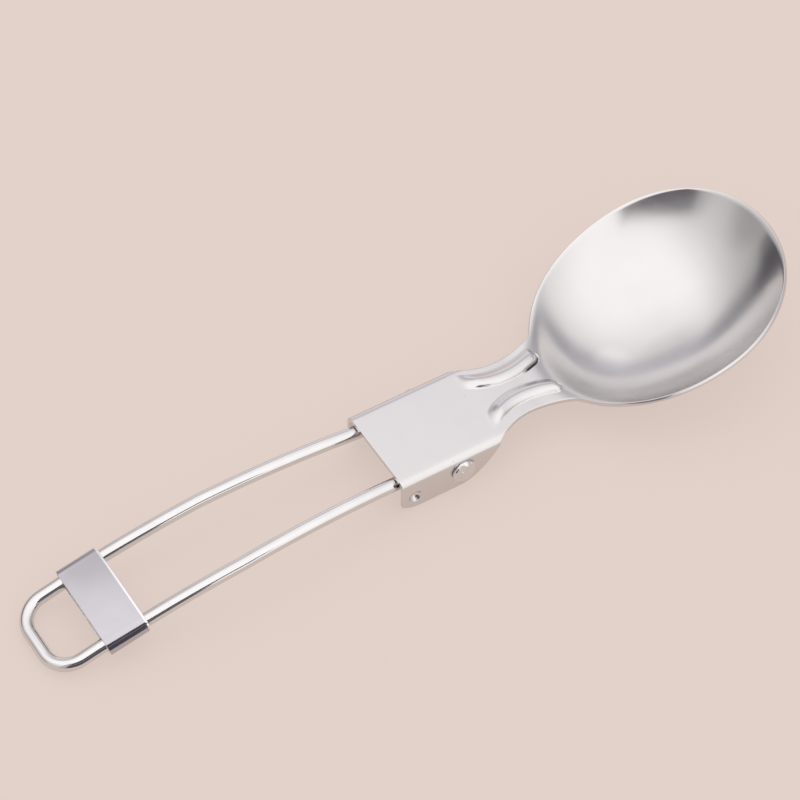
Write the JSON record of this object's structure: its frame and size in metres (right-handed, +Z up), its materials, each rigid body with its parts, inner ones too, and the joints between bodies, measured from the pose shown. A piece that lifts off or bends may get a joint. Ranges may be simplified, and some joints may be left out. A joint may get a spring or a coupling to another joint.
{
  "type": "folding spoon",
  "caption": "Camping spoon with a deep bowl, a beaded neck and a bent wire handle that folds under the bowl; a slide ring runs along the wires.",
  "frame": {"origin": "on the table, under the middle of the open spoon's length and width", "axes": "+X from the handle's loop to the tip of the bowl, +Y across, +Z up out of the bowl"},
  "size_m": [0.155, 0.0418, 0.0196],
  "materials": {
    "satin_sheet": "satin stainless steel",
    "polished_wire": "polished stainless steel",
    "polished_strip": "polished stainless steel"
  },
  "bodies": {
    "head": {"spoon_head": "satin_sheet"},
    "handle": {"wire_handle": "polished_wire"},
    "ring": {"slide_ring": "polished_strip"}
  },
  "joints": [
    {"name": "fold", "type": "hinge", "parent": "head", "child": "handle", "pos_m": [0.0057, 0, 0.0044], "axis": [0, -1, 0], "range_deg": [0, 174]},
    {"name": "ring_travel", "type": "hinge", "parent": "handle", "child": "ring", "pos_m": [-0.02987, 0, -0.16851], "axis": [0, 1, 0], "range_deg": [0, 16.5]}
  ]
}
